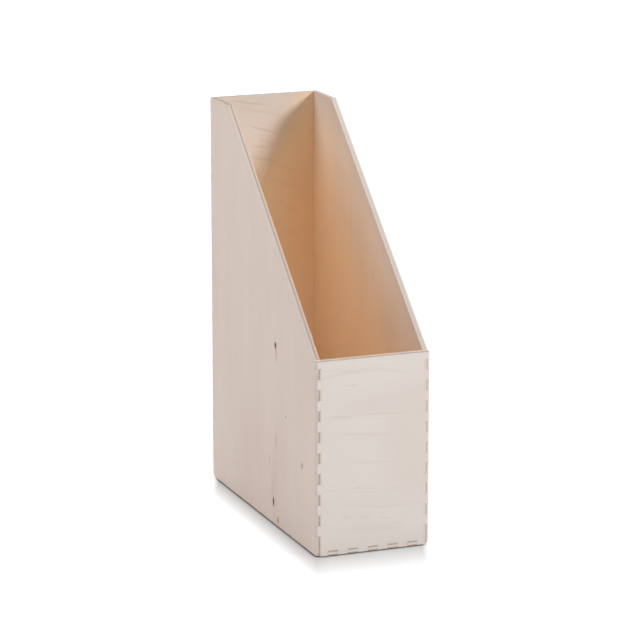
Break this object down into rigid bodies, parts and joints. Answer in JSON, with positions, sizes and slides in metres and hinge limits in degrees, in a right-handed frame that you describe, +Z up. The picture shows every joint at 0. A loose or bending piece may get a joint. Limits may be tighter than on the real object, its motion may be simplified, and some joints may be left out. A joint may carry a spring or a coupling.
{
  "type": "magazine file",
  "caption": "Open-topped upright magazine file with a tall back, sloping sides and a low front, made of thin birch plywood panels joined with glued finger joints.",
  "frame": {"origin": "centre of the base, on the surface that the file stands on", "axes": "+Z up, +X across the width, low front towards -Y"},
  "size_m": [0.09, 0.23, 0.31],
  "materials": {
    "birch_plywood": "sanded, clear matt"
  },
  "bodies": {
    "root": {"left_side": "birch_plywood", "right_side": "birch_plywood", "front_panel": "birch_plywood", "back_panel": "birch_plywood", "bottom_panel": "birch_plywood"}
  },
  "joints": []
}
